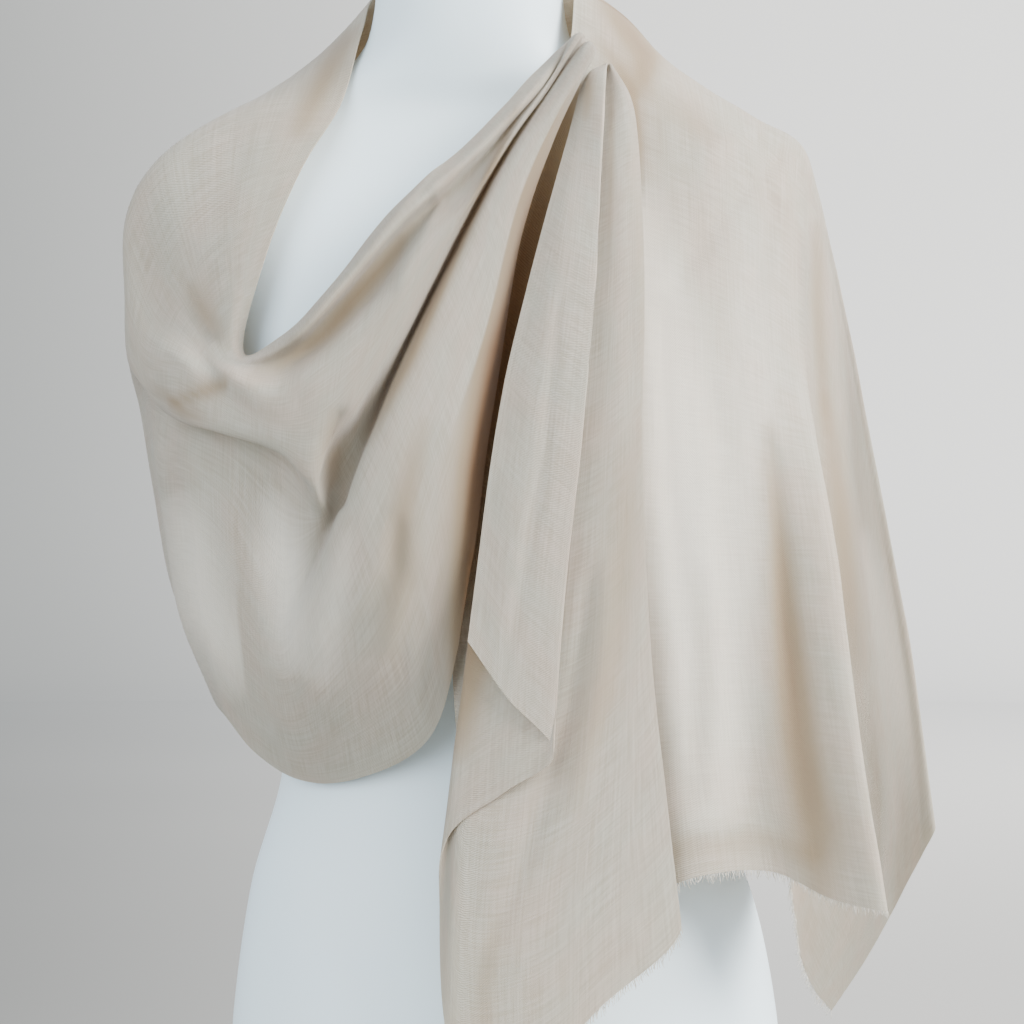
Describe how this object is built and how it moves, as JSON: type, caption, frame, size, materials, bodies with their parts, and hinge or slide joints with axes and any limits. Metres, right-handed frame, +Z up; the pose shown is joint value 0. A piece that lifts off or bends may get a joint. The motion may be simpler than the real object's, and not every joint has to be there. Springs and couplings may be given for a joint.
{
  "type": "pashmina shawl on a limbless dress form",
  "caption": "Thin fringed pashmina stole draped over a plain dress form: round both shoulders, cowled across the chest with a deep pleat, one end falling down the front.",
  "frame": {"origin": "point on the dress form's flat base, below the middle of its neck and waist", "axes": "+Z up from the base to the neck, -Y towards the front of the form, +X towards the form's left shoulder"},
  "size_m": [0.4818, 0.2957, 0.78],
  "materials": {
    "form_shell": "smooth matt white shell",
    "pashmina_cloth": "fine undyed beige twill, thin and softly napped",
    "pashmina_fringe": "short loose warp ends"
  },
  "bodies": {
    "root": {"dress_form": "form_shell", "shawl_shoulder_end": "pashmina_cloth", "shawl_back": "pashmina_cloth", "shawl_arm_wrap": "pashmina_cloth", "shawl_front_wrap": "pashmina_cloth", "shawl_hanging_end": "pashmina_cloth", "fringe_shoulder_front": "pashmina_fringe", "fringe_shoulder_side": "pashmina_fringe", "fringe_shoulder_corner": "pashmina_fringe", "fringe_hanging_end": "pashmina_fringe"}
  },
  "joints": []
}
